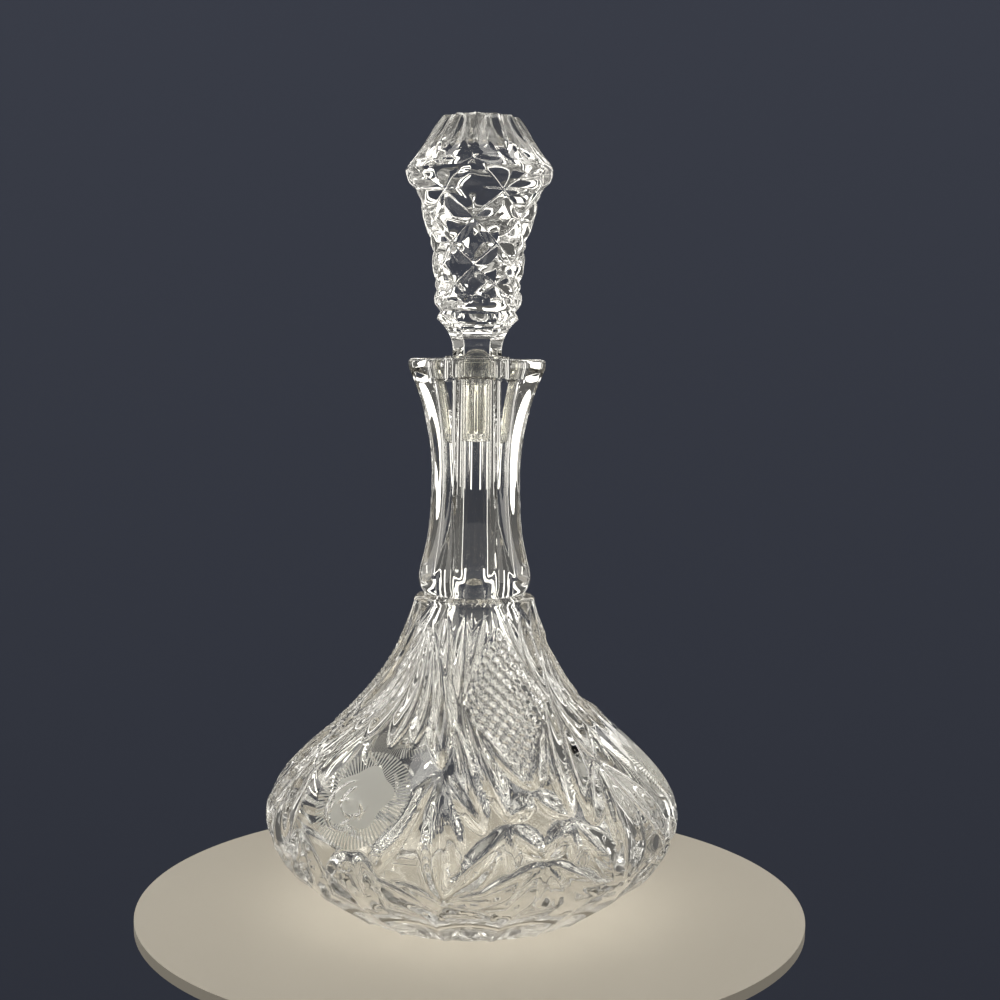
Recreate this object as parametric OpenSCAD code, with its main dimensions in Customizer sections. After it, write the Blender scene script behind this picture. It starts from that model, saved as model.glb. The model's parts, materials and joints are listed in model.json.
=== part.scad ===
// Ships decanter: a wide cut-glass bottle, its glass stopper and the plastic sleeve that seats it.
// Millimetres, +Z up, origin at the middle of the foot, front towards -Y.

/* [Bottle body] */
// Radius of the flat foot
foot_r = 50; // [48:0.5:53]
// Radius of the body at its widest
belly_r = 80.6; // [78:0.2:85]
// Height of the widest place
belly_z = 36; // [34:0.5:39]
// Radius under the neck ring
shoulder_r = 23.6; // [23:0.1:25]
// Height of the neck ring
shoulder_z = 119; // [115:0.5:124]
// Glass thickness at the widest place
wall = 7; // [6.5:0.1:8]
// Glass thickness at the bottom
base_t = 11; // [10:0.5:14]

/* [Neck and lip] */
// Radius of the bead over the neck ring
bead_r = 21.8; // [21.4:0.1:22.8]
// Radius at the narrowest place
waist_r = 17.2; // [16.8:0.1:18]
// Neck length from the ring to the top of the lip
neck_len = 94; // [90:1:98]
// Radius of the lip
lip_r = 28.2; // [27.4:0.1:29.4]
// Depth of the six neck panels
panel_depth = 2.6; // [2.3:0.1:2.8]
// Bore that takes the stopper sleeve
bore_d = 19.4; // [18.8:0.1:20]

/* [Stopper] */
// Stopper height above the sleeve
stopper_h = 90.2; // [87:0.2:95]
// Radius of the girdle, the widest part of the head
girdle_r = 28.2; // [27:0.1:29.4]
// Radius at the foot of the head
head_foot_r = 17; // [16.6:0.1:17.6]
// Radius of the stem collar at its corners
collar_r = 15.6; // [15.2:0.1:16.2]
// Radius of the flat top
table_r = 14.6; // [13.6:0.1:15.6]
// Number of flutes round the crown
crown_flutes = 12; // [10:2:14]

/* [Stopper sleeve] */
// Depth of the sleeve in the neck under its collar
sleeve_len = 25; // [22:0.5:28]
// Wall of the sleeve
sleeve_t = 1.4; // [1.2:0.1:1.6]
// Radius of the sleeve collar
sleeve_collar_r = 12.6; // [12.2:0.1:13]
// Height of the sleeve collar
sleeve_collar_h = 6.8; // [6.4:0.1:8]
// Number of ribs round the sleeve
sleeve_ribs = 16; // [12:2:20]
// Running clearance of the sleeve in the bore and of the shank in the sleeve
fit_gap = 0.05; // [0.03:0.01:0.08]

/* [Hidden] */
$fn = 96;

// A point on a cubic curve, and the whole curve as a list of points.
function on_curve(p, t) =
    pow(1 - t, 3) * p[0] + 3 * pow(1 - t, 2) * t * p[1] + 3 * (1 - t) * t * t * p[2] + pow(t, 3) * p[3];
function curve(p, steps, first = 0) = [for (i = [first:steps]) on_curve(p, i / steps)];

// Outside of the bottle's body from the foot to the neck ring.
body_low = [[foot_r, 0], [foot_r + 22.8, 12.4], [belly_r, belly_z - 8], [belly_r, belly_z]];
body_high = [
    [belly_r, belly_z],
    [belly_r, belly_z + 24],
    [shoulder_r + 12, shoulder_z - 46.5],
    [shoulder_r, shoulder_z]
];
body_side = concat(curve(body_low, 7), curve(body_high, 12, 1));

// Outside of the neck from the ring to the lip.
lip_z = shoulder_z + neck_len;
bead_z = shoulder_z + 8.5;
waist_z = shoulder_z + 45;
ring_notch = 3.6;
lip_edge = 4;
neck_low = [[bead_r, bead_z], [bead_r, bead_z + 8], [waist_r, waist_z - 26], [waist_r, waist_z]];
neck_high = [
    [waist_r, waist_z],
    [waist_r, waist_z + 13.4],
    [lip_r - 6.4, lip_z - 12],
    [lip_r - 0.4, lip_z - lip_edge]
];
neck_side = concat(
    [[shoulder_r - 0.4, shoulder_z + 1.6], [shoulder_r - 1.6, shoulder_z + 2.8]],
    [[shoulder_r - ring_notch, shoulder_z + 3.4], [bead_r - 0.9, shoulder_z + 5.5]],
    curve(neck_low, 7),
    curve(neck_high, 7, 1),
    [[lip_r, lip_z - lip_edge / 2], [lip_r - 0.5, lip_z - 0.7], [lip_r - 1.6, lip_z]]
);

// Inside of the bottle from the bottom to the bore.
bore_r = bore_d / 2;
inner_r = belly_r - wall;
inner_low = [[foot_r - 12, base_t], [foot_r + 14, base_t], [inner_r, belly_z - 12], [inner_r, belly_z]];
inner_high = [
    [inner_r, belly_z],
    [inner_r, belly_z + 19],
    [bore_r + 14, shoulder_z - 44],
    [bore_r, shoulder_z + 2]
];

// Recess in the lip for the sleeve's collar, and its play round the collar.
seat_z = lip_z - 6;
seat_play = 0.4;

// The cut pattern repeats round the body, and each repeat is mirrored in its middle, the diamond panel.
repeats = 3;
panel_turn = 20;
neck_sides = 6;

// Heights of the pattern's meeting points: star, its sides and top, fan, and the lower leaves.
star_z = belly_z + 3.6;
star_side_z = belly_z + 16.3;
star_top_z = belly_z + 23.4;
fan_z = belly_z + 30.4;
leaf_low_z = belly_z - 12;
leaf_top_z = shoulder_z - 7;

// Turns of the meeting points from the middle of the diamond panel.
star_side = 9;
long_end = 3 * star_side;
fan_turn = 30;
medallion_turn = 180 / repeats;

// Petals of the fan: where each starts from the fan's place, its end's turn, and its end's height
// over the belly. They are cut a little under the surface.
fan_petals = [[-1.2, -1.6, 15, 14], [-0.5, -0.6, 22, 6], [0, 0.8, 30, 2], [0.8, -0.9, 38, 6]];
fan_cut = 0.3;

// Diamond panel: its pointed outline, and the size of one diamond on the glass.
panel_top_z = shoulder_z - 8;
panel_mid_z = shoulder_z - 32;
panel_low_z = star_top_z + 1.6;
panel_half = 25;
diamond_h = 5.75;
diamond_w = 4.7;
diamond_cut = 0.9;

// Medallion, scalloped border and foot.
medallion_z = belly_z + 21;
medallion_r = 20;
medallion_depth = 0.7;
border_scallops = 18;
scallop_r = 42;
scallop_cut = 1.7;
foot_recess_r = 41;
foot_recess = 2.5;
foot_rays = 18;

// V-shaped cuts: half the angle between their two sides, and the height of the tool.
cut_half = 60;
cut_tall = 4.5;
cut_wide = cut_tall * tan(cut_half);

// Leaf-shaped cuts: depth at their tips, and how far their two halves run past each other.
leaf_tip = 0.25;
leaf_past = 0.7;
edge_leaf = 1.8;
top_leaf = 2;

// Place of the body's surface and its outward direction, by turn from the front and height.
body_table = [for (p = body_side) [p[1], p[0]]];
function body_at(z) = lookup(z, body_table);
function on_body(a, z) = [body_at(z) * sin(a), -body_at(z) * cos(a), z];
function unit(v) = v / norm(v);
function outward(a, z) = unit([sin(a), -cos(a), (body_at(z - 1) - body_at(z + 1)) / 2]);

// Length along the body's side from the foot to each of its points, by height.
function side_step(i) = norm(body_side[i] - body_side[max(i - 1, 0)]);
side_table = [
    for (i = 0, s = 0; i < len(body_side); i = i + 1, s = s + (i < len(body_side) ? side_step(i) : 0))
        [body_side[i][1], s]
];
function side_at(z) = lookup(z, side_table);

// Moves what stands along +Z to run from one point to another, with its +Y side outwards.
module from_to(p1, p2, out) {
    run = unit(p2 - p1);
    high = unit(out - (out * run) * run);
    side = cross(high, run);
    multmatrix([
        [side[0], high[0], run[0], p1[0]],
        [side[1], high[1], run[1], p1[1]],
        [side[2], high[2], run[2], p1[2]],
        [0, 0, 0, 1]
    ])
        children();
}

// A straight V-shaped cut between two points, sunk evenly and run on a little past each end.
module v_cut(p1, p2, out, sunk = 0, past = 0) {
    from_to(p1, p2, out)
        translate([0, -sunk, -past])
            linear_extrude(height = norm(p2 - p1) + 2 * past)
                polygon([[0, 0], [cut_wide, cut_tall], [-cut_wide, cut_tall]]);
}

// A straight cut between two places on the body, deepest where the body bulges most over it.
module mitre(a1, z1, a2, z2, sunk = 0) {
    v_cut(on_body(a1, z1), on_body(a2, z2), outward((a1 + a2) / 2, (z1 + z2) / 2), sunk);
}

// A leaf-shaped cut where the body is hollow: two straight cuts from its ends down to its middle.
module leaf(a1, z1, a2, z2, depth) {
    out = outward((a1 + a2) / 2, (z1 + z2) / 2);
    deep = on_body((a1 + a2) / 2, (z1 + z2) / 2) - depth * out;
    v_cut(on_body(a1, z1) - leaf_tip * out, deep, out, 0, leaf_past);
    v_cut(deep, on_body(a2, z2) - leaf_tip * out, out, 0, leaf_past);
}

// Puts a cut on both sides of every repeat's middle.
module each_side() {
    for (k = [0:repeats - 1], s = [0, 1])
        rotate([0, 0, panel_turn + k * 360 / repeats])
            mirror([s, 0, 0])
                children();
}

// Half the diamond panel's angle at a height, and the angle of a slanting line that starts at a length.
function panel_edge(z) =
    z > panel_mid_z
        ? panel_half * (1 - pow((z - panel_mid_z) / (panel_top_z - panel_mid_z), 2))
        : panel_half * (z - panel_low_z) / (panel_mid_z - panel_low_z);
function line_turn(z, start) = (side_at(z) - start) * diamond_w / diamond_h / body_at(z) * 180 / PI;

// One set of slanting cuts across the diamond panel, each as long as the panel is there.
module diamond_lines() {
    for (start = [side_at(panel_low_z) + diamond_h / 2:diamond_h:side_at(panel_top_z)]) {
        inside = [
            for (z = [panel_low_z:0.5:panel_top_z])
                if (abs(line_turn(z, start)) < panel_edge(z)) z
        ];
        z1 = inside[0];
        z2 = inside[len(inside) - 1];
        mitre(line_turn(z1, start), z1, line_turn(z2, start), z2, diamond_cut);
    }
}

// Star under the panel, with the lozenge over it and the leaves below it.
module star_cuts() {
    mitre(0, star_top_z, star_side, star_side_z);
    mitre(star_side, star_side_z, 0, star_z);
    mitre(star_side, star_side_z, 2 * star_side, star_z + 2.4);
    mitre(2 * star_side, star_z + 2.4, long_end, belly_z - 5);
    mitre(0, star_z, 13, star_z - 6);
    mitre(0, star_z, 7, leaf_low_z + 3);
    mitre(0, leaf_low_z + 4, 10, leaf_low_z - 3);
    mitre(long_end - 1.2, belly_z - 6.2, 14, leaf_low_z - 3);
}

// Fan between the panel and the medallion, and the leaves under the medallion.
module fan_cuts() {
    for (cut = fan_petals)
        mitre(fan_turn + cut[0], fan_z + cut[1], cut[2], belly_z + cut[3], fan_cut);
    mitre(37, belly_z + 2, 45, leaf_low_z + 2);
    mitre(47, belly_z + 1, 55, leaf_low_z + 4);
}

// Leaves that edge the panel, and those that spread over the medallion from the shoulder.
module tall_leaves() {
    leaf(panel_half + 1, panel_mid_z, 0, star_top_z, edge_leaf);
    leaf(0, panel_top_z + 2, panel_half + 1, panel_mid_z, edge_leaf);
    leaf(medallion_turn, leaf_top_z, 54, fan_z + 7, top_leaf);
    leaf(medallion_turn - 2, leaf_top_z, 43, fan_z + 10, top_leaf);
    leaf(medallion_turn - 4, leaf_top_z, fan_turn, fan_z + 2, top_leaf);
}

// Round medallion, ground evenly into the surface.
module medallion() {
    out = outward(0, medallion_z);
    sunk = medallion_depth / norm([out[0], out[1]]);
    reach = 12;
    difference() {
        translate(on_body(0, medallion_z) - reach * out)
            rotate([atan2(-out[1], out[2]), 0, 0])
                cylinder(r = medallion_r, h = 2 * reach);
        rotate_extrude()
            polygon(concat([[0, 0]], [for (p = body_side) p - [sunk, 0]], [[0, shoulder_z]]));
    }
}

// One scallop of the border round the underside.
module scallop() {
    tool_len = 40;
    from_to(on_body(0, 1), on_body(0, belly_z - 19), outward(0, 8))
        translate([0, scallop_r - scallop_cut, -6])
            cylinder(r = scallop_r, h = tool_len);
}

// Hollow under the foot, with a ring of short rays cut in it.
module foot_hollow() {
    ray_in = 12;
    ray_out = foot_recess_r - 7;
    ray_cut = 1.2;
    translate([0, 0, -1])
        cylinder(r1 = foot_recess_r + 1, r2 = foot_recess_r - foot_recess, h = foot_recess + 1);
    for (k = [0:foot_rays - 1])
        rotate([0, 0, k * 360 / foot_rays])
            v_cut([0, -ray_in, foot_recess], [0, -ray_out, foot_recess], [0, 0, -1], ray_cut);
}

// One panel of the neck, ground flat across on the rim of a large wheel that follows the neck's waist.
module neck_panel() {
    wheel_r = 112;
    translate([-lip_r, -(waist_r - panel_depth + wheel_r), waist_z + 4])
        rotate([0, 90, 0])
            cylinder(r = wheel_r, h = 2 * lip_r, $fn = 360);
}

module bottle_blank() {
    rotate_extrude()
        polygon(concat([[0, 0]], body_side, neck_side, [[0, lip_z]]));
}

module bottle_hollow() {
    rotate_extrude()
        polygon(concat(
            [[0, base_t]],
            curve(inner_low, 6),
            curve(inner_high, 10, 1),
            [[bore_r, lip_z + 1], [0, lip_z + 1]]
        ));
    translate([0, 0, seat_z])
        cylinder(r = sleeve_collar_r + seat_play, h = lip_z - seat_z + 1);
}

module bottle() {
    color("lightcyan")
        difference() {
            bottle_blank();
            bottle_hollow();
            foot_hollow();
            for (k = [0:neck_sides - 1])
                rotate([0, 0, k * 360 / neck_sides])
                    neck_panel();
            for (k = [0:repeats - 1])
                rotate([0, 0, panel_turn + medallion_turn + k * 360 / repeats])
                    medallion();
            for (k = [0:border_scallops - 1])
                rotate([0, 0, panel_turn + k * 360 / border_scallops])
                    scallop();
            each_side() {
                diamond_lines();
                star_cuts();
                fan_cuts();
                tall_leaves();
            }
        }
}

// Sleeve: a thin ribbed tube in the bore, under a thick collar that sits in the lip's recess.
sleeve_r = bore_r - fit_gap;
sleeve_bevel = 1;
rib_groove = 0.9;
module stopper_sleeve() {
    low = seat_z - sleeve_len;
    color("lemonchiffon")
        difference() {
            rotate_extrude()
                polygon([
                    [sleeve_r - sleeve_t, low],
                    [sleeve_r - sleeve_bevel, low],
                    [sleeve_r, low + 2 * sleeve_bevel],
                    [sleeve_r, seat_z],
                    [sleeve_collar_r, seat_z],
                    [sleeve_collar_r, seat_z + sleeve_collar_h - 0.6],
                    [sleeve_collar_r - 0.6, seat_z + sleeve_collar_h],
                    [sleeve_r - sleeve_t, seat_z + sleeve_collar_h]
                ]);
            for (k = [0:sleeve_ribs - 1])
                rotate([0, 0, k * 360 / sleeve_ribs])
                    translate([sleeve_r + rib_groove / 2, 0, low - 1])
                        cylinder(r = rib_groove, h = sleeve_len - 1, $fn = 32);
        }
}

// Stopper: shank in the sleeve, six-sided stem, head cut in diamonds and fluted crown.
stem_z = seat_z + sleeve_collar_h;
top_z = stem_z + stopper_h;
shank_r = sleeve_r - sleeve_t - fit_gap;
shank_z = seat_z - sleeve_len + 2;
shank_bevel = 2.4;
stem_r = shank_r + 1.2;
collar_z = stem_z + 13;
head_z = stem_z + 20;
girdle_z = top_z - 20.6;
crown_z = top_z - 2.4;
crown_r = table_r + 3;
stem_side = [
    [stem_r, stem_z + 2.5],
    [stem_r, stem_z + 7.7],
    [stem_r + 3.2, stem_z + 9.4],
    [collar_r, collar_z]
];
head_side = [
    [head_foot_r, head_z + 1.5],
    [head_foot_r - 0.2, head_z + 21],
    [girdle_r - 2.6, girdle_z - 4],
    [girdle_r, girdle_z]
];
head_curve = curve(head_side, 9);
head_table = [for (p = head_curve) [p[1], p[0]]];
function on_head(a, z) = [lookup(z, head_table) * sin(a), -lookup(z, head_table) * cos(a), z];

module stopper_blank() {
    rotate_extrude()
        polygon(concat(
            [[0, shank_z], [shank_r - shank_bevel, shank_z], [shank_r, shank_z + shank_bevel]],
            [[shank_r, stem_z], [stem_r, stem_z]],
            curve(stem_side, 5),
            [[collar_r, collar_z + 1.2], [collar_r - 1.2, collar_z + 3.8]],
            [[head_foot_r - 0.8, head_z - 0.8]],
            head_curve,
            [[girdle_r, girdle_z + 1.6], [crown_r, crown_z], [table_r, top_z], [0, top_z]]
        ));
}

// One flat of the six-sided stem, hollowed to the flare of its collar.
module stem_flat() {
    flat_r = 14.7;
    flat_cut = 1.1;
    translate([-collar_r, -(stem_r - flat_cut + flat_r), stem_z + 2.7])
        rotate([0, 90, 0])
            cylinder(r = flat_r, h = 2 * collar_r);
}

// Diamonds of the head: slanting cuts between rows of crossings, each row half a step round from
// the last, and each taller than the one under it.
head_sides = 6;
head_rows = 5;
head_cut = 1.3;
head_past = 1.2;
rows_low = head_z + 0.5;
rows_high = girdle_z - 8.5;
row_growth = 0.28;
function row_share(i) = ((1 - row_growth) * i + row_growth * i * i / head_rows) / head_rows;
function row_z(i) = rows_low + (rows_high - rows_low) * row_share(i);
module head_cuts() {
    step = 360 / head_sides;
    for (i = [0:head_rows - 1], k = [0:head_sides - 1], s = [-1, 1]) {
        turn = k * step + (i % 2) * step / 2;
        v_cut(
            on_head(turn, row_z(i)),
            on_head(turn + s * step / 2, row_z(i + 1)),
            [sin(turn + s * step / 4), -cos(turn + s * step / 4), -0.2],
            head_cut,
            head_past
        );
    }
}

// One flute of the crown, deeper at the girdle than at the flat top.
crown_turn = 10;
module crown_flute() {
    flute_r = 16;
    deep_low = 1.5;
    deep_high = 0.7;
    slope = unit([0, -(crown_z - girdle_z), girdle_r - crown_r]);
    from_to(
        [0, -girdle_r, girdle_z + 1.6] + (flute_r - deep_low) * slope,
        [0, -crown_r, crown_z] + (flute_r - deep_high) * slope,
        slope
    )
        translate([0, 0, -5])
            cylinder(r = flute_r, h = 30);
}

module stopper() {
    color("azure")
        difference() {
            stopper_blank();
            for (k = [0:head_sides - 1])
                rotate([0, 0, k * 360 / head_sides])
                    stem_flat();
            head_cuts();
            for (k = [0:crown_flutes - 1])
                rotate([0, 0, crown_turn + k * 360 / crown_flutes])
                    crown_flute();
        }
}

bottle();
stopper_sleeve();
stopper();
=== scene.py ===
import bisect
import json
import math

import bpy
from mathutils import Matrix, Vector

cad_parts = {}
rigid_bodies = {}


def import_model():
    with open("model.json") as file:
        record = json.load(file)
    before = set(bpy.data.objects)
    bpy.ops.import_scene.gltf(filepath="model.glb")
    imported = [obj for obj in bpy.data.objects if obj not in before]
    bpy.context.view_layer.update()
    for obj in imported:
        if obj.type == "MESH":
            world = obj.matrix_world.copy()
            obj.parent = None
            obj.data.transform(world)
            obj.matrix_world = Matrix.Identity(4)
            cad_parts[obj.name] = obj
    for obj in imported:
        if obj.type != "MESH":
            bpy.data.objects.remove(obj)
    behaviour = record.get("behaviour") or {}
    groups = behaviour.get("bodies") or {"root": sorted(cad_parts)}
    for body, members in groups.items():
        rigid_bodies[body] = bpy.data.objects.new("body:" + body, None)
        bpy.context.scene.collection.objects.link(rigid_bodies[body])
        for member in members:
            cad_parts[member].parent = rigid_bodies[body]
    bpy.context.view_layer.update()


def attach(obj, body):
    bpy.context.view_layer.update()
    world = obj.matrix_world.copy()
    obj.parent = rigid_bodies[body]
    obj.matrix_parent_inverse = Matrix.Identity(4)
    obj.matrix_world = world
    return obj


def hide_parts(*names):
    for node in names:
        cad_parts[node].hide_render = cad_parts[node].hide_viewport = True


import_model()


# Bottle
# One piece of heavy clear glass: a wide low body, a six-sided neck and a flared lip.
# It is pressed in a mould with its leaves and small diamonds, and its medallions are then frosted and cut.
# Sizes are in millimetres.
mm = 0.001
hair = 0.001
foot_r = 50
foot_round = 0.6
belly_r = 80.5
belly_z = 36
shoulder_r = 23.6
shoulder_z = 119


def on_curve(p, t):
    """Point on a curve that has four control points."""
    weights = ((1 - t) ** 3, 3 * (1 - t) ** 2 * t, 3 * (1 - t) * t * t, t ** 3)
    return [sum(w * q[i] for w, q in zip(weights, p)) for i in (0, 1)]


def curve(p, steps, first=0):
    """Points along a curve; first=1 leaves out the point that it shares with the stretch before it."""
    return [on_curve(p, i / steps) for i in range(first, steps + 1)]


def turned(name, outline, steps):
    """A round piece: one point is drawn out along the outline and spun about the upright axis."""
    bpy.ops.object.select_all(action="DESELECT")
    bpy.ops.mesh.primitive_plane_add(size=mm, location=(0, 0, 0))
    piece = bpy.context.object
    piece.name = name
    bpy.ops.object.mode_set(mode="EDIT")
    bpy.ops.mesh.merge(type="CENTER")
    bpy.ops.transform.translate(value=(outline[0][0] * mm, 0, outline[0][1] * mm))
    for (r0, z0), (r1, z1) in zip(outline, outline[1:]):
        move = ((r1 - r0) * mm, 0, (z1 - z0) * mm)
        bpy.ops.mesh.extrude_vertices_move(TRANSFORM_OT_translate={"value": move})
    bpy.ops.mesh.select_all(action="SELECT")
    bpy.ops.mesh.spin(steps=steps, angle=2 * math.pi, center=(0, 0, 0), axis=(0, 0, 1))
    bpy.ops.mesh.select_all(action="SELECT")
    bpy.ops.mesh.remove_doubles(threshold=hair * mm)
    bpy.ops.mesh.normals_make_consistent(inside=False)
    bpy.ops.object.mode_set(mode="OBJECT")
    return piece


body_low = [
    [foot_r, foot_round],
    [foot_r + 22.8, 12.4],
    [belly_r, belly_z - 8],
    [belly_r, belly_z],
]
body_high = [
    [belly_r, belly_z],
    [belly_r, belly_z + 24],
    [shoulder_r + 12, shoulder_z - 46.5],
    [shoulder_r, shoulder_z],
]
body_side = curve(body_low, steps=44) + curve(body_high, steps=130, first=1)
body_heights = [z for r, z in body_side]
bottle = turned(
    "decanter_bottle",
    [[0, 0], [foot_r - 3, 0], [foot_r - foot_round, 0.15]] + body_side + [[0, shoulder_z]],
    steps=420,
)


def body_at(z):
    """Radius of the plain body at a height."""
    low = min(max(bisect.bisect_left(body_heights, z), 1), len(body_side) - 1)
    (r0, z0), (r1, z1) = body_side[low - 1], body_side[low]
    return r0 + (r1 - r0) * (z - z0) / (z1 - z0)


def on_body(place):
    """Point on the plain body, by turn from the front in degrees and height."""
    turn = math.radians(place[0])
    r = body_at(place[1])
    return Vector((r * math.sin(turn), -r * math.cos(turn), place[1]))


def outward(place):
    """Direction straight out of the plain body."""
    turn = math.radians(place[0])
    rise = (body_at(place[1] - 1) - body_at(place[1] + 1)) / 2
    return Vector((math.sin(turn), -math.cos(turn), rise)).normalized()


# Three repeats go round the body, each mirrored in the middle of a panel of small diamonds. Its leaves are
# hollows that meet in points. A place is a turn in degrees from the middle of the panel, and a height.
repeats = 3
repeat = 360 / repeats
panel_turn = 20
panel_foot = (0, 60)
panel_corner = (26, 86)
panel_top = (0, 113)
star_side = (9, 51.5)
star = (0, 39.7)
star_end = (27, 22.5)
fan = (30, 66.5)
fan_end = (45, 32)
low_fan = (50, 42)
shoulder = (60, 115)


def leaf(start, end, half_wide, fullest=0.5, steep=0.66):
    """A leaf-shaped hollow between two places: half width, where it is fullest, and depth to half width."""
    first, last = on_body(start), on_body(end)
    half_way = ((start[0] + end[0]) / 2, (start[1] + end[1]) / 2)
    run = (last - first).normalized()
    across = run.cross(outward(half_way)).normalized()
    return first, run, across, (last - first).length, math.log(0.5, fullest), half_wide, half_wide * steep


leaves = [
    leaf(shoulder, fan, 6, 0.62),
    leaf(shoulder, (43, 73), 4.6, 0.66),
    leaf(shoulder, (53, 71), 4.6, 0.66),
    leaf((44, 117), (36, 82), 3.2),
    leaf((27, 117), panel_corner, 3.6),
    leaf((10, 117), (26, 88), 2.4),
    leaf(panel_corner, panel_foot, 4, 0.6),
    leaf((28, 92), star_side, 5, 0.62),
    leaf((30, 84), (15, 49), 4.2, 0.6),
    leaf(panel_foot, star_side, 3.8),
    leaf(star_side, star, 4.2),
    leaf(star_side, (9, 32), 3.4),
    leaf(star_side, star_end, 5.4),
    leaf(fan, (15, 48), 4, 0.6),
    leaf(fan, (22, 33), 4.2, 0.6),
    leaf(fan, star_end, 5.6, 0.6),
    leaf(fan, fan_end, 5, 0.6),
    leaf(star, (9, 20), 4),
    leaf(star, (21, 23), 4.4),
    leaf(star, (0, 19), 3.4),
    leaf(star_end, (11, 29), 3.4),
    leaf(star_end, (12, 16), 3.2),
    leaf(star_end, (39, 31), 3.4),
    leaf(fan_end, (28, 17), 4),
    leaf(fan_end, (46, 15), 3.6),
    leaf(low_fan, (43, 24), 3.8),
    leaf(low_fan, (51, 20), 3.8),
    leaf(low_fan, (60, 25), 3.8),
    leaf((60, 31), (53, 15), 3.4),
]


def leaf_depth(point, hollow):
    """Depth of one leaf at a point: rounded across, and running out to nothing at both ends."""
    first, run, across, length, skew, half_wide, depth = hollow
    arm = point - first
    along = arm.dot(run) / length
    if not 0 < along < 1:
        return 0
    share = along ** skew
    swell = 4 * share * (1 - share)
    aside = arm.dot(across) / (half_wide * swell)
    return depth * swell * (1 - aside * aside) if abs(aside) < 1 else 0


def hollow_depth(folded, height):
    """Depth of the deepest leaf, with the leaves of the mirrored halves on both sides."""
    spots = [on_body((near, height)) for near in (folded, -folded, repeat - folded)]
    return max(leaf_depth(spot, shape) for spot in spots for shape in leaves)


# Panel of small diamonds: two sets of rounded grooves cross on it.
diamond_h = 5.75
diamond_w = 4.7
diamond_depth = 1.1
diamond_round = 1.5
panel_edge = 1
side_lengths = [0]
for (r0, z0), (r1, z1) in zip(body_side, body_side[1:]):
    side_lengths.append(side_lengths[-1] + math.hypot(r1 - r0, z1 - z0))
panel_low = side_lengths[bisect.bisect_left(body_heights, panel_foot[1])]


def diamond_depth_at(turn, z):
    """Depth of the grooves between the small diamonds, which end at the panel's edge."""
    if z > panel_corner[1]:
        edge = panel_corner[0] * (1 - ((z - panel_corner[1]) / (panel_top[1] - panel_corner[1])) ** 2)
    else:
        edge = panel_corner[0] * (z - panel_foot[1]) / (panel_corner[1] - panel_foot[1])
    inside = (edge - turn) * math.radians(body_at(z)) - panel_edge
    if inside <= 0:
        return 0
    along = (side_lengths[bisect.bisect_left(body_heights, z - hair)] - panel_low) / diamond_h
    aside = math.radians(turn) * body_at(z) / diamond_w
    grooves = [abs(2 * (line % 1) - 1) ** diamond_round for line in (along + aside, along - aside)]
    return diamond_depth * min(1, inside) * sum(grooves)


# Border above the foot: round flutes, each as a long round bar would leave it.
border_scallops = 18
scallop_r = 42
scallop_cut = 1.7
scallop_low = on_body((0, 1))
scallop_run = (on_body((0, belly_z - 20)) - scallop_low).normalized()
scallop_out = outward((0, 8))
scallop_up = (scallop_out - scallop_out.dot(scallop_run) * scallop_run).normalized()
scallop_axis = scallop_low + scallop_up * (scallop_r - scallop_cut)


def scallop_depth(turn, z):
    """Depth of the round flutes that border the foot."""
    step = 360 / border_scallops
    arm = on_body(((turn + step / 2) % step - step / 2, z)) - scallop_axis
    return scallop_r - (arm - arm.dot(scallop_run) * scallop_run).length


# Medallions: one in each repeat, with its middle and the directions right, up and out of it.
medallion_turn = -34
medallion_z = 56.5
medallion_r = 19.5
medallion_fade = 6
medallions = []
for k in range(repeats):
    place = (medallion_turn + k * repeat, medallion_z)
    out = outward(place)
    right = Vector((0, 0, 1)).cross(out).normalized()
    medallions.append((on_body(place), right, out.cross(right), out))


def on_medallion(point):
    """Place on the nearest medallion, in its own half widths, right and up."""
    centre, right, up = min(medallions, key=lambda spot: (point - spot[0]).length)[:3]
    arm = (point - centre) / medallion_r
    return Vector((arm.dot(right), arm.dot(up)))


# Each point takes the mean of nine places round it, so that the edges of the leaves run smoothly. The flat
# under the foot and the points on the axis stay as they are, and no leaf runs into a medallion.
turn_steps = -0.43, 0, 0.43
height_steps = -0.45, 0, 0.45
foot_flat = 0.1
axis_r = 1
depths = {}
for vertex in bottle.data.vertices:
    x, y, z = vertex.co / mm
    if z < foot_flat or math.hypot(x, y) < axis_r:
        continue
    turn = math.degrees(math.atan2(x, -y))
    folded = abs((turn - panel_turn + repeat / 2) % repeat - repeat / 2)
    height = max(z, foot_round)
    key = (round(folded, 2), round(height, 3))
    if key not in depths:
        near = [hollow_depth(folded + a, height + h) for a in turn_steps for h in height_steps]
        small = diamond_depth_at(folded, height) if panel_foot[1] < height < panel_top[1] else 0
        flute = scallop_depth(folded, height) if height < belly_z else 0
        depths[key] = sum(near) / len(near), small, flute
    hollow, small, flute = depths[key]
    past_medallion = on_medallion(Vector((x, y, z))).length - 1
    clear = min(1, max(0, medallion_fade * past_medallion))
    vertex.co -= outward((turn, height)) * max(hollow * clear, small, flute) * mm


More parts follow.
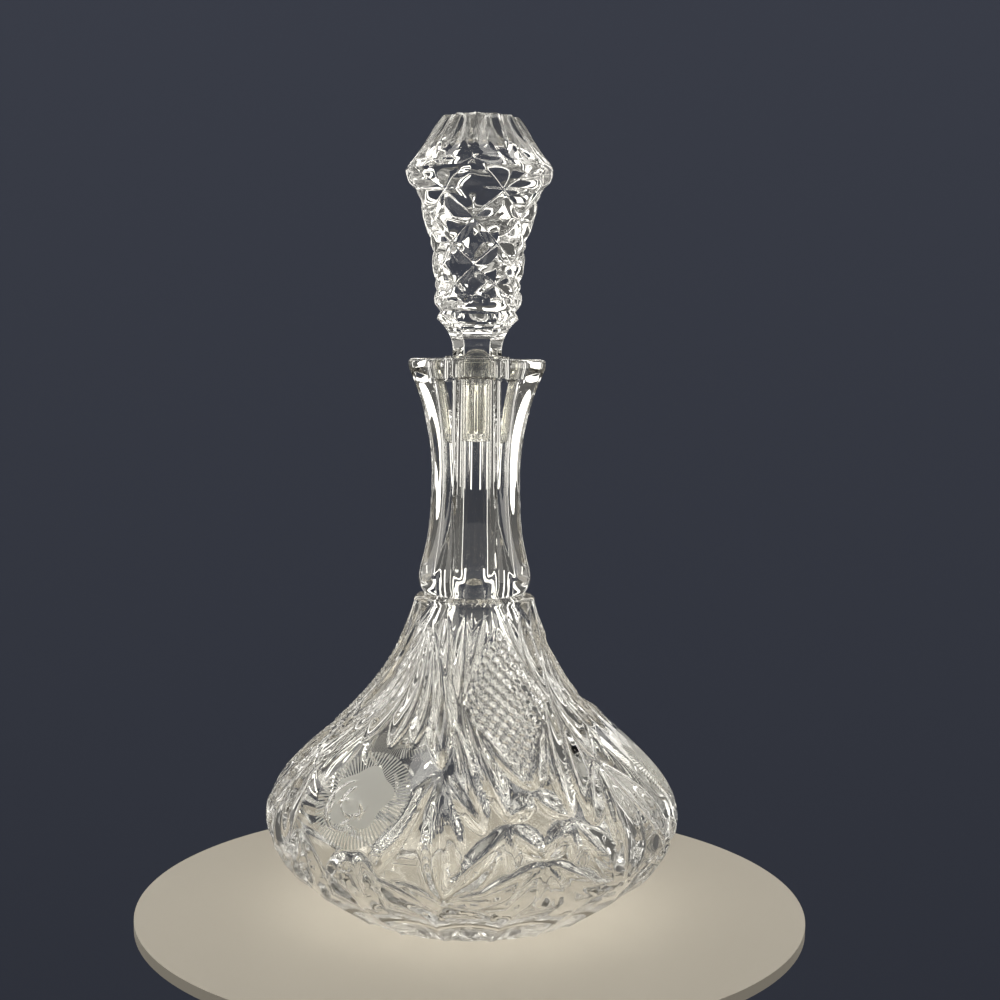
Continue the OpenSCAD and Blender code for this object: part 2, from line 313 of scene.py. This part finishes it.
# Neck of the bottle: six panels, each as the rim of a large wheel would leave it, and rounded ridges between.
neck_lap = 3
bead_r = 21.8
waist_r = 17.2
waist_z = shoulder_z + 45
lip_r = 28.1
lip_z = 212.95
lip_h = 4
lip_lean = 0.4
seat_r = 13
lip_flat_r = seat_r + 4
lip_flat_t = 0.01
ring = [
    [shoulder_r - 0.4, shoulder_z - neck_lap],
    [shoulder_r, shoulder_z],
    [shoulder_r - 0.1, shoulder_z + 0.9],
    [shoulder_r - 0.5, shoulder_z + 1.7],
    [shoulder_r - 1.5, shoulder_z + 2.5],
    [shoulder_r - 3, shoulder_z + 3],
    [shoulder_r - 3.6, shoulder_z + 3.5],
    [shoulder_r - 3.5, shoulder_z + 4.1],
    [bead_r - 1, shoulder_z + 5.2],
    [bead_r - 0.3, shoulder_z + 6.6],
]
neck_low = [
    [bead_r, shoulder_z + 8.5],
    [bead_r, shoulder_z + 16.5],
    [waist_r, waist_z - 26],
    [waist_r, waist_z],
]
neck_high = [
    [waist_r, waist_z],
    [waist_r, waist_z + 13.4],
    [lip_r - 6.4, lip_z - 12],
    [lip_r - lip_lean, lip_z - lip_h],
]
lip_round = [
    [lip_r - lip_lean, lip_z - lip_h],
    [lip_r + 0.1, lip_z - 1.4],
    [lip_r - 0.2, lip_z],
    [lip_r - 2.8, lip_z],
]
neck = turned(
    "neck",
    [[0, shoulder_z - neck_lap]]
    + ring
    + curve(neck_low, steps=24)
    + curve(neck_high, steps=30, first=1)
    + curve(lip_round, steps=10, first=1)
    + [[lip_flat_r, lip_z], [0, lip_z]],
    steps=120,
)
neck_sides = 6
neck_panel_low = shoulder_z + 5
neck_panel_mid = waist_z + 4
neck_panel_cut = 2.6
neck_wheel_r = 112
neck_panel_hollow = 0.7
neck_ridge_round = 1
neck_step = math.radians(360 / neck_sides)
for vertex in neck.data.vertices:
    x, y, z = vertex.co / mm
    r = math.hypot(x, y)
    on_lip_flat = z > lip_z - lip_flat_t and r < lip_flat_r + 1
    if z < neck_panel_low or on_lip_flat:
        continue
    height = min(z, lip_z - lip_h)
    full = r if z == height else lip_r - lip_lean
    aside = (math.atan2(x, -y) + neck_step / 2) % neck_step - neck_step / 2
    wheel = math.sqrt(neck_wheel_r ** 2 - (height - neck_panel_mid) ** 2)
    over = full - (waist_r - neck_panel_cut + neck_wheel_r - wheel) / math.cos(aside)
    over += neck_panel_hollow * (1 - (2 * aside / neck_step) ** 2)
    sunk = max(0, (over + math.hypot(over, neck_ridge_round)) / 2 - neck_ridge_round / 2)
    vertex.co.x *= (r - sunk) / r
    vertex.co.y *= (r - sunk) / r


def joined(piece, other, operation):
    """Adds another piece to this one, or takes its shape away."""
    bpy.ops.object.select_all(action="DESELECT")
    bpy.context.view_layer.objects.active = piece
    piece.select_set(True)
    join = piece.modifiers.new("join", "BOOLEAN")
    join.operation = operation
    join.solver = "MANIFOLD"
    join.object = other
    bpy.ops.object.modifier_apply(modifier="join")
    bpy.data.objects.remove(other)


joined(bottle, neck, "UNION")

# Hollow of the bottle, with the wide seat for the sleeve's collar in the lip. The straight bore has two rings
# of points more, which keep the bend below it out of its shading.
cut_past = 2
seat_z = 207
bore_r = 9.7
glass_wall = 7
base_t = 11
inner_r = belly_r - glass_wall
seat_edge = [
    [seat_r + 1, lip_z],
    [seat_r + 0.3, lip_z - 0.3],
    [seat_r, lip_z - 1],
    [seat_r, seat_z],
]
bore_edge = [
    [bore_r + 0.5, seat_z],
    [bore_r, seat_z - 0.5],
    [bore_r, shoulder_z + 60],
    [bore_r, shoulder_z + 30],
]
inner_high = [
    [bore_r, shoulder_z + 2],
    [bore_r + 14, shoulder_z - 44],
    [inner_r, belly_z + 19],
    [inner_r, belly_z],
]
inner_low = [
    [inner_r, belly_z],
    [inner_r, belly_z - 12],
    [foot_r + 14, base_t],
    [foot_r - 12, base_t],
]
hollow = turned(
    "hollow",
    [[0, lip_z + cut_past], [seat_r + 1, lip_z + cut_past]]
    + seat_edge
    + bore_edge
    + curve(inner_high, steps=28)
    + curve(inner_low, steps=14, first=1)
    + [[0, base_t]],
    steps=120,
)
joined(bottle, hollow, "DIFFERENCE")

# Recess under the foot, with a narrow bevel round its edge.
foot_recess = 2.5
foot_recess_r = 41
recess_bevel = 0.6
recess = turned(
    "recess",
    [
        [0, -cut_past],
        [foot_recess_r + recess_bevel, -cut_past],
        [foot_recess_r + recess_bevel, 0],
        [foot_recess_r, recess_bevel / 2],
        [foot_recess_r - foot_recess, foot_recess],
        [0, foot_recess],
    ],
    steps=120,
)
joined(bottle, recess, "DIFFERENCE")

cut_shapes = bpy.data.collections.new("cut_shapes")
bpy.context.scene.collection.children.link(cut_shapes)


def keep_cutter(cutter):
    """Puts a shape with those that are cut away next."""
    for holder in list(cutter.users_collection):
        holder.objects.unlink(cutter)
    cut_shapes.objects.link(cutter)


def copied_round(cutter, count):
    """Copies of a shape at even turns about the upright axis, each with its own mesh."""
    for k in range(1, count):
        copy = cutter.copy()
        copy.data = cutter.data.copy()
        copy.data.transform(Matrix.Rotation(math.radians(k * 360 / count), 4, "Z"))
        cut_shapes.objects.link(copy)


# A rose in each medallion: polished crescents, cut by tilted rings that dip into the surface on one side.
# Each ring has its place right and up of the middle, its radius, its dip's turn in degrees, and its tilt.
rose = [
    (-1, -2, 6, 50, 0.24),
    (-3, -4, 10, 40, 0.14),
    (-5, -7, 5, 200, 0.28),
    (-4, -8, 7.5, 290, 0.19),
]
rose_edge = 1
rose_lift = 0.1
medallion_bend_r = 75
for centre, right, up, out in medallions:
    for across, above, ring_r, dip_turn, tilt in rose:
        dip = math.radians(dip_turn)
        deepest = right * math.cos(dip) + up * math.sin(dip)
        axis = Matrix.Rotation(tilt, 3, deepest.cross(out)) @ out
        spot = centre + right * across + up * above
        spot += out * (rose_lift - (spot - centre).length_squared / (2 * medallion_bend_r))
        bpy.ops.object.select_all(action="DESELECT")
        bpy.ops.mesh.primitive_torus_add(
            major_segments=64,
            minor_segments=16,
            major_radius=ring_r * mm,
            minor_radius=rose_edge * mm,
            location=spot * mm,
            rotation=axis.to_track_quat("Z", "Y").to_euler(),
        )
        crescent = bpy.context.object
        bpy.ops.object.transform_apply()
        keep_cutter(crescent)

# Rays under the foot: one tapered groove, copied round.
foot_rays = 18
ray_len = 24
ray_mid = 23
ray_thin = 0.2
ray_thick = 2.6
ray_low = 0.3
bpy.ops.object.select_all(action="DESELECT")
bpy.ops.mesh.primitive_cone_add(
    vertices=48,
    radius1=ray_thin * mm,
    radius2=ray_thick * mm,
    depth=ray_len * mm,
    location=Vector((0, -ray_mid, foot_recess - ray_low)) * mm,
    rotation=(math.pi / 2, 0, 0),
)
foot_ray = bpy.context.object
bpy.ops.object.transform_apply()
keep_cutter(foot_ray)
copied_round(foot_ray, foot_rays)


def cut_away(piece, smooth_angle):
    """Takes all the gathered shapes out of a piece, and smooths it up to an angle in degrees."""
    bpy.ops.object.select_all(action="DESELECT")
    bpy.context.view_layer.objects.active = piece
    piece.select_set(True)
    cut = piece.modifiers.new("cut", "BOOLEAN")
    cut.operation = "DIFFERENCE"
    cut.solver = "MANIFOLD"
    cut.operand_type = "COLLECTION"
    cut.collection = cut_shapes
    bpy.ops.object.modifier_apply(modifier="cut")
    for cutter in list(cut_shapes.objects):
        bpy.data.objects.remove(cutter)
    bpy.ops.object.shade_smooth_by_angle(angle=math.radians(smooth_angle))


cut_away(bottle, smooth_angle=40)


def glass(name):
    """Solid glass that lets lamp light through to what lies behind it."""
    material = bpy.data.materials.new(name)
    material.use_nodes = True
    nodes = material.node_tree.nodes
    links = material.node_tree.links
    shader = nodes["Principled BSDF"]
    shader.inputs["Base Color"].default_value = (0.985, 0.985, 0.97, 1)
    shader.inputs["Roughness"].default_value = 0
    shader.inputs["IOR"].default_value = 1.54
    shader.inputs["Transmission Weight"].default_value = 1
    through = nodes.new("ShaderNodeBsdfTransparent")
    path = nodes.new("ShaderNodeLightPath")
    mix = nodes.new("ShaderNodeMixShader")
    mix.name = "shadow"
    links.new(path.outputs["Is Shadow Ray"], mix.inputs["Fac"])
    links.new(shader.outputs[0], mix.inputs[1])
    links.new(through.outputs[0], mix.inputs[2])
    links.new(mix.outputs[0], nodes["Material Output"].inputs["Surface"])
    return material


clear_glass = glass("clear_glass")

# Frosting of the medallions: a matt middle with a wavy edge, and fine matt strokes from there to the rim.
# The map runs from 0 to 1 across a medallion.
frosted_glass = glass("frosted_glass")
nodes = frosted_glass.node_tree.nodes
links = frosted_glass.node_tree.links


def math_node(operation, *inputs):
    """One step of the frosting's pattern, on numbers or on the results of other steps."""
    node = nodes.new("ShaderNodeMath")
    node.operation = operation
    for socket, value in zip(node.inputs, inputs):
        if isinstance(value, (int, float)):
            socket.default_value = value
        else:
            links.new(value, socket)
    return node.outputs[0]


map_mid = 0.5
strokes = 76
stroke_share = 0.5
middle_reach = 0.31
middle_waves = 5
wave_h = 0.03
frost_reach = 0.49
frost = nodes.new("ShaderNodeBsdfPrincipled")
frost.inputs["Base Color"].default_value = (0.58, 0.58, 0.55, 1)
frost.inputs["Roughness"].default_value = 0.55
frost.inputs["IOR"].default_value = 1.54
frost.inputs["Transmission Weight"].default_value = 0.72
uv = nodes.new("ShaderNodeUVMap")
uv.uv_map = "medallion"
axes = nodes.new("ShaderNodeSeparateXYZ")
links.new(uv.outputs[0], axes.inputs[0])
map_right = math_node("SUBTRACT", axes.outputs["X"], map_mid)
map_up = math_node("SUBTRACT", axes.outputs["Y"], map_mid)
squares = math_node("MULTIPLY_ADD", map_right, map_right, math_node("MULTIPLY", map_up, map_up))
reach = math_node("SQRT", squares)
map_turn = math_node("ARCTAN2", map_up, map_right)
stripe = math_node("FRACT", math_node("MULTIPLY", map_turn, strokes / (2 * math.pi)))
wave = math_node("SINE", math_node("MULTIPLY", map_turn, middle_waves))
middle_edge = math_node("MULTIPLY_ADD", wave, wave_h, middle_reach)
on_stroke = math_node("LESS_THAN", stripe, stroke_share)
in_middle = math_node("LESS_THAN", reach, middle_edge)
matt = math_node("MAXIMUM", on_stroke, in_middle)
inside = math_node("LESS_THAN", reach, frost_reach)
polish = nodes.new("ShaderNodeMixShader")
links.new(math_node("MULTIPLY", matt, inside), polish.inputs["Fac"])
links.new(nodes["Principled BSDF"].outputs[0], polish.inputs[1])
links.new(frost.outputs[0], polish.inputs[2])
links.new(polish.outputs[0], nodes["shadow"].inputs[1])

# The faces on and just round a medallion take the frosting. Those inside its cut crescents stay clear.
frost_bound = 1.1
skin_gap = 0.3
bottle.data.materials.clear()
bottle.data.materials.append(clear_glass)
bottle.data.materials.append(frosted_glass)
uv_map = bottle.data.uv_layers.new(name="medallion")
for face in bottle.data.polygons:
    centre = face.center / mm
    near = abs(centre.z - medallion_z) < medallion_r and on_medallion(centre).length < frost_bound
    skin = abs(math.hypot(centre.x, centre.y) - body_at(centre.z)) < skin_gap
    face.material_index = 1 if near and skin else 0
    if face.material_index:
        for loop in face.loop_indices:
            corner = bottle.data.vertices[bottle.data.loops[loop].vertex_index].co / mm
            uv_map.data[loop].uv = on_medallion(corner) / 2 + Vector((map_mid, map_mid))
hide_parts("bottle")
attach(bottle, "bottle")


# Stopper sleeve
# A thin ribbed tube of milky plastic with a thick collar, which sits in the mouth of the bottle.
# It is moulded in one piece, and the stopper's shank stands in it.
fit_play = 0.05
collar_r = 12.6
collar_h = 6.8
sleeve_wall = 1.4
sleeve_len = 25
sleeve_r = bore_r - fit_play
sleeve_in = sleeve_r - sleeve_wall
sleeve_low = seat_z - sleeve_len
collar_top = seat_z + collar_h
sleeve = turned(
    "stopper_sleeve_tube",
    [
        [sleeve_in, sleeve_low],
        [sleeve_r - 1, sleeve_low],
        [sleeve_r - 0.3, sleeve_low + 0.7],
        [sleeve_r, sleeve_low + 2],
        [sleeve_r, seat_z],
        [collar_r - 0.4, seat_z],
        [collar_r, seat_z + 0.4],
        [collar_r, collar_top - 0.8],
        [collar_r - 0.25, collar_top - 0.25],
        [collar_r - 0.8, collar_top],
        [sleeve_in, collar_top],
        [sleeve_in, sleeve_low],
    ],
    steps=128,
)
sleeve_ribs = 16
groove_r = 0.9
groove_len = 24
groove_mid = sleeve_low + 11
bpy.ops.object.select_all(action="DESELECT")
bpy.ops.mesh.primitive_cylinder_add(
    vertices=24,
    radius=groove_r * mm,
    depth=groove_len * mm,
    location=Vector((sleeve_r + groove_r / 2, 0, groove_mid)) * mm,
)
groove = bpy.context.object
bpy.ops.object.transform_apply()
keep_cutter(groove)
copied_round(groove, sleeve_ribs)
cut_away(sleeve, smooth_angle=25)

milky_plastic = bpy.data.materials.new("milky_plastic")
milky_plastic.use_nodes = True
plastic = milky_plastic.node_tree.nodes["Principled BSDF"]
plastic.inputs["Base Color"].default_value = (0.97, 0.96, 0.91, 1)
plastic.inputs["Roughness"].default_value = 0.06
plastic.inputs["IOR"].default_value = 1.5
plastic.inputs["Transmission Weight"].default_value = 1
sleeve.data.materials.clear()
sleeve.data.materials.append(milky_plastic)
for face in sleeve.data.polygons:
    face.material_index = 0
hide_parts("stopper_sleeve")
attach(sleeve, "sleeve")


# Stopper
# A solid piece of clear glass, pressed in a mould: a round shank, a six-sided stem, a head covered
# in raised flat diamonds and a fluted crown. It lifts out of the neck in its sleeve.
stem_z = collar_top
stopper_h = 90.15
top_z = stem_z + stopper_h
shank_r = sleeve_in - fit_play
shank_z = sleeve_low + 2
stem_r = shank_r + 1.2
stem_collar_r = 15.6
collar_z = stem_z + 13
head_z = stem_z + 20
head_foot_r = 17
rim_h = 7.6
rim_in = 3.6
girdle_r = 28.1
girdle_z = top_z - 20.6
table_r = 14.6
crown_r = table_r + 3
crown_z = top_z - 2.4
crown_low_r = 25
crown_low_z = girdle_z + 5.6
shank_side = [
    [0, shank_z],
    [shank_r - 2.4, shank_z],
    [shank_r - 0.6, shank_z + 0.8],
    [shank_r, shank_z + 2.4],
    [shank_r, stem_z],
    [stem_r, stem_z],
]
stem_side = [
    [stem_r, stem_z + 2.5],
    [stem_r, stem_z + 7.7],
    [stem_r + 3.2, stem_z + 9.4],
    [stem_collar_r, collar_z],
]
collar_side = [
    [stem_collar_r, collar_z + 1.2],
    [stem_collar_r - 0.4, collar_z + 2.6],
    [stem_collar_r - 1.2, collar_z + 3.8],
    [head_foot_r - 1.4, head_z - 1.6],
    [head_foot_r - 0.5, head_z - 0.4],
]
head_side = [
    [head_foot_r, head_z + 1.5],
    [head_foot_r - 0.2, head_z + 20],
    [girdle_r - 6.4, girdle_z - 16],
    [girdle_r - rim_in, girdle_z - rim_h],
]
rim_side = [
    [girdle_r - rim_in, girdle_z - rim_h],
    [girdle_r - 1.8, girdle_z - 5.4],
    [girdle_r, girdle_z - 5],
    [girdle_r, girdle_z],
]
girdle_side = [
    [girdle_r, girdle_z],
    [girdle_r, girdle_z + 2.2],
    [girdle_r - 1, girdle_z + 3],
    [crown_low_r, crown_low_z],
]
crown_side = [
    [crown_low_r, crown_low_z],
    [crown_r + 1, crown_z - 4],
    [crown_r, crown_z],
    [table_r, top_z],
]
stopper = turned(
    "decanter_stopper",
    shank_side
    + curve(stem_side, steps=14)
    + collar_side
    + curve(head_side, steps=90)
    + curve(rim_side, steps=20, first=1)
    + curve(girdle_side, steps=8, first=1)
    + curve(crown_side, steps=24, first=1)
    + [[table_r - 4, top_z], [0, top_z]],
    steps=288,
)

# Raised diamonds on the head, flutes on the crown and six flats on the stem, as the mould leaves them.
head_sides = 6
head_rows = 5
rows_low = head_z + 0.5
rows_high = girdle_z - 8.5
row_growth = 0.28
head_start = head_z + 1
head_fade = 1.5
rim_fade = 2
head_depth = 2.2
head_table = 0.45
head_round = 0.15
head_turn = math.radians(-5)


def diamond_sunk(turn, z):
    """Depth on the head: next to none on the diamonds' flat tops, and most in the grooves between them."""
    share = max(0, (z - rows_low) / (rows_high - rows_low))
    root = math.sqrt((1 - row_growth) ** 2 + 4 * row_growth * share)
    row = head_rows * (root - (1 - row_growth)) / (2 * row_growth)
    lean = (turn - head_turn) * head_sides / math.pi
    past = max(abs((lean + way * row) % 2 - 1) for way in (-1, 1)) - head_table
    bevel = (past + math.hypot(past, head_round)) / 2 / (1 - head_table)
    fade = min(1, (girdle_z - z) / rim_fade, (z - head_start) / head_fade)
    return head_depth * fade * bevel


crown_flutes = 12
crown_turn = math.radians(10)
flute_depth = 2.2
flute_fade = 3


def flute_sunk(turn, z):
    """Depth of the crown's flutes, which run out at the girdle."""
    step = 2 * math.pi / crown_flutes
    aside = ((turn - crown_turn + step / 2) % step) / step * 2 - 1
    return flute_depth * min(1, (z - girdle_z) / flute_fade) * (1 - aside * aside)


flat_r = 14.7
flat_depth = 1.1
flat_mid = stem_z + 2.7
flat_end = collar_z + 3


def flat_sunk(turn, z, r):
    """Depth of the stem's six flats, each as the rim of a small wheel would leave it."""
    step = 2 * math.pi / head_sides
    aside = (turn + step / 2) % step - step / 2
    rise = z - flat_mid
    if rise >= flat_r:
        return 0
    wheel = math.sqrt(flat_r ** 2 - rise * rise)
    return max(0, r - (stem_r - flat_depth + flat_r - wheel) / math.cos(aside))


for vertex in stopper.data.vertices:
    x, y, z = vertex.co / mm
    r = math.hypot(x, y)
    turn = math.atan2(x, -y)
    sunk = 0
    if head_start < z < girdle_z:
        sunk = diamond_sunk(turn, z)
    elif z > girdle_z and r > table_r - 1:
        sunk = flute_sunk(turn, z)
    elif stem_z < z < flat_end:
        sunk = flat_sunk(turn, z, r)
    if r > 0:
        vertex.co.x *= (r - sunk) / r
        vertex.co.y *= (r - sunk) / r

stopper.data.materials.append(clear_glass)
bpy.ops.object.select_all(action="DESELECT")
bpy.context.view_layer.objects.active = stopper
stopper.select_set(True)
bpy.ops.object.shade_smooth_by_angle(angle=math.radians(35))
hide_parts("stopper")
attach(stopper, "stopper")


# Floor, light and camera
# A pale round stand under the object, a navy backdrop, and strip lamps all round that draw the glass's edges.
# Places and sizes of the backdrop, the lamps and the camera are in metres.
floor_r = 130
floor_t = 4
bpy.ops.object.select_all(action="DESELECT")
bpy.ops.mesh.primitive_cylinder_add(
    vertices=160,
    radius=floor_r * mm,
    depth=floor_t * mm,
    location=(0, 0, -floor_t / 2 * mm),
)
floor = bpy.context.object
floor.name = "floor"
bpy.ops.object.transform_apply()
pale = bpy.data.materials.new("pale_floor")
pale.use_nodes = True
floor_paint = pale.node_tree.nodes["Principled BSDF"]
floor_paint.inputs["Base Color"].default_value = (0.38, 0.35, 0.3, 1)
floor_paint.inputs["Roughness"].default_value = 0.6
floor.data.materials.append(pale)

backdrop_wide = 0.98
backdrop_place = (0.02, 0.8, 0.09)
bpy.ops.object.select_all(action="DESELECT")
bpy.ops.mesh.primitive_plane_add(size=backdrop_wide, location=backdrop_place, rotation=(math.pi / 2, 0, 0))
backdrop = bpy.context.object
backdrop.name = "backdrop"
bpy.ops.object.transform_apply()
navy = bpy.data.materials.new("navy_backdrop")
navy.use_nodes = True
backdrop_paint = navy.node_tree.nodes["Principled BSDF"]
backdrop_paint.inputs["Base Color"].default_value = (0.06, 0.069, 0.102, 1)
backdrop_paint.inputs["Roughness"].default_value = 0.9
backdrop_paint.inputs["Specular IOR Level"].default_value = 0.1
backdrop.data.materials.append(navy)

scene = bpy.context.scene
scene.view_settings.view_transform = "Standard"
world = bpy.data.worlds.new("surround")
scene.world = world
world.use_nodes = True
nodes = world.node_tree.nodes
links = world.node_tree.links
soft_light = nodes["Background"]
soft_light.inputs["Color"].default_value = (1, 0.985, 0.95, 1)
soft_light.inputs["Strength"].default_value = 0.1
seen = nodes.new("ShaderNodeBackground")
seen.inputs["Color"].default_value = (0.04, 0.044, 0.06, 1)
path = nodes.new("ShaderNodeLightPath")
mix = nodes.new("ShaderNodeMixShader")
links.new(path.outputs["Is Camera Ray"], mix.inputs["Fac"])
links.new(soft_light.outputs[0], mix.inputs[1])
links.new(seen.outputs[0], mix.inputs[2])
links.new(mix.outputs[0], nodes["World Output"].inputs["Surface"])

decanter_mid = (0, 0, 0.12)


def strip_lamp(name, place, width, height, radiance, target=decanter_mid):
    """A flat lamp at a place, of a width, height and brightness, that faces the decanter or another place."""
    lamp = bpy.data.lights.new(name, "AREA")
    lamp.shape = "RECTANGLE"
    lamp.size = width
    lamp.size_y = height
    lamp.color = (1, 0.97, 0.9)
    lamp.energy = math.pi * width * height * radiance
    holder = bpy.data.objects.new(name, lamp)
    holder.location = place
    aim = Vector(target) - Vector(place)
    holder.rotation_euler = aim.to_track_quat("-Z", "Y").to_euler()
    holder.visible_camera = False
    scene.collection.objects.link(holder)


left_level = 1.7
right_level = 1.5
for side, level in ((-1, left_level), (1, right_level)):
    strip_lamp("behind_lamp", (side * 0.34, 0.76, 0.45), 0.1, 0.8, 2, target=(side * 0.34, 0, 0.45))
    strip_lamp("side_lamp", (side * 1.8, -0.2, 0.8), 0.45, 1.9, level)
    strip_lamp("fore_side_lamp", (side * 1.6, -0.95, 0.9), 0.45, 1.9, level)
    strip_lamp("fore_lamp", (side * 1.05, -1.6, 1.0), 0.4, 1.6, level)
    strip_lamp("top_lamp", (side * 0.6, -0.2, 2.2), 0.45, 2.4, 3.4)
    strip_lamp("rear_lamp", (side * 1.5, 1.0, 0.6), 0.24, 1.6, 1.6)
    strip_lamp("high_rear_lamp", (side * 0.8, 1.0, 1.5), 0.4, 0.7, 3.2)
    strip_lamp("edge_lamp", (side * 0.6, 0.85, 0.15), 0.07, 1.3, 3.0)
    strip_lamp("over_lamp", (side * 0.3, 0.85, 0.72), 0.5, 0.07, 3.0)
    strip_lamp("window", (side * 1.2, -1.35, 1.0), 0.2, 0.4, 8)
strip_lamp("front_lamp", (0, -2.3, 1.3), 2.4, 1.4, 0.5)

camera_dip = 4.823
camera_roll = 0.75
camera_data = bpy.data.cameras.new("camera")
camera_data.lens = 57.6
camera_data.sensor_width = 36
camera = bpy.data.objects.new("camera", camera_data)
camera.location = (0.00947, -0.6175, 0.2105)
tilt = Matrix.Rotation(math.radians(90 - camera_dip), 4, "X")
roll = Matrix.Rotation(math.radians(camera_roll), 4, "Z")
camera.rotation_euler = (tilt @ roll).to_euler()
scene.collection.objects.link(camera)
scene.camera = camera

scene.cycles.max_bounces = 24
scene.cycles.transmission_bounces = 24
scene.cycles.glossy_bounces = 8
scene.cycles.transparent_max_bounces = 24
